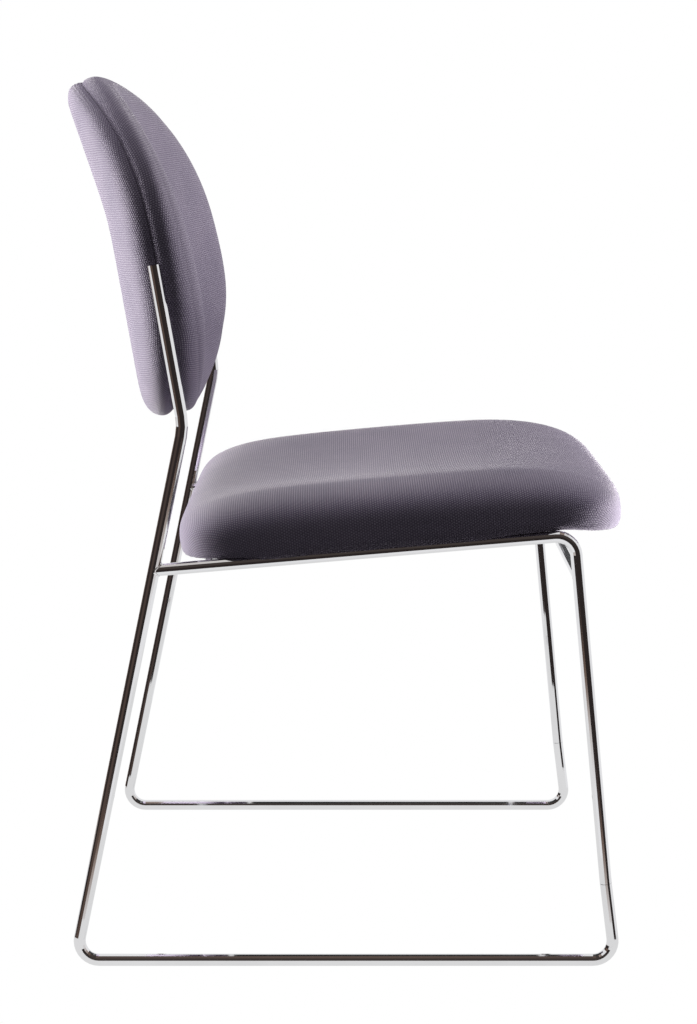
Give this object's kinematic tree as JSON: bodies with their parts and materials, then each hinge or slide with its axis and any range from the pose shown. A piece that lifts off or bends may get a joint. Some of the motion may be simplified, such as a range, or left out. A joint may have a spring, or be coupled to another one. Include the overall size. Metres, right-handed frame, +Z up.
{
  "type": "sled base chair",
  "caption": "Visitor chair with a sled base of bent round chromed rod, an upholstered seat and a wide, split oval back.",
  "frame": {"origin": "on the floor, under the middle of the overall bounding box", "axes": "+Z up; the chair faces -Y; +X to the left side of its sitter"},
  "size_m": [0.5, 0.5326, 0.8145],
  "materials": {
    "chrome": "polished chrome plating",
    "bright_steel": "bright zinc-plated steel",
    "upholstery": "purple-grey knitted mesh",
    "foam": "open-cell moulded foam",
    "plywood": "bare moulded plywood",
    "underside_panel": "black fibre panel",
    "clip_plastic": "natural nylon"
  },
  "bodies": {
    "root": {"seat_cover": "upholstery", "seat_foam": "foam", "seat_board": "plywood", "seat_underside_cover": "underside_panel", "right_rear_seat_tab": "bright_steel", "right_rear_seat_screw": "bright_steel", "right_rear_seat_nut": "bright_steel", "right_front_seat_tab": "bright_steel", "right_front_seat_screw": "bright_steel", "right_front_seat_nut": "bright_steel", "left_rear_seat_tab": "bright_steel", "left_rear_seat_screw": "bright_steel", "left_rear_seat_nut": "bright_steel", "left_front_seat_tab": "bright_steel", "left_front_seat_screw": "bright_steel", "left_front_seat_nut": "bright_steel", "back_front_cover": "upholstery", "back_front_foam": "foam", "back_front_board": "plywood", "back_rear_cover": "upholstery", "back_rear_foam": "foam", "back_rear_board": "plywood", "right_back_bracket": "bright_steel", "left_back_bracket": "bright_steel", "right_lower_back_screw": "bright_steel", "right_lower_back_nut": "bright_steel", "right_upper_back_screw": "bright_steel", "right_upper_back_nut": "bright_steel", "left_lower_back_screw": "bright_steel", "left_lower_back_nut": "bright_steel", "left_upper_back_screw": "bright_steel", "left_upper_back_nut": "bright_steel", "right_lower_back_clip": "clip_plastic", "right_upper_back_clip": "clip_plastic", "left_lower_back_clip": "clip_plastic", "left_upper_back_clip": "clip_plastic", "right_side_rod": "chrome", "right_front_rod": "chrome", "right_rail_weld": "chrome", "left_side_rod": "chrome", "left_front_rod": "chrome", "left_rail_weld": "chrome", "front_cross_rod": "chrome", "front_cross_rod_right_weld": "chrome", "front_cross_rod_left_weld": "chrome", "rear_cross_rod": "chrome", "rear_cross_rod_right_weld": "chrome", "rear_cross_rod_left_weld": "chrome"}
  },
  "joints": []
}
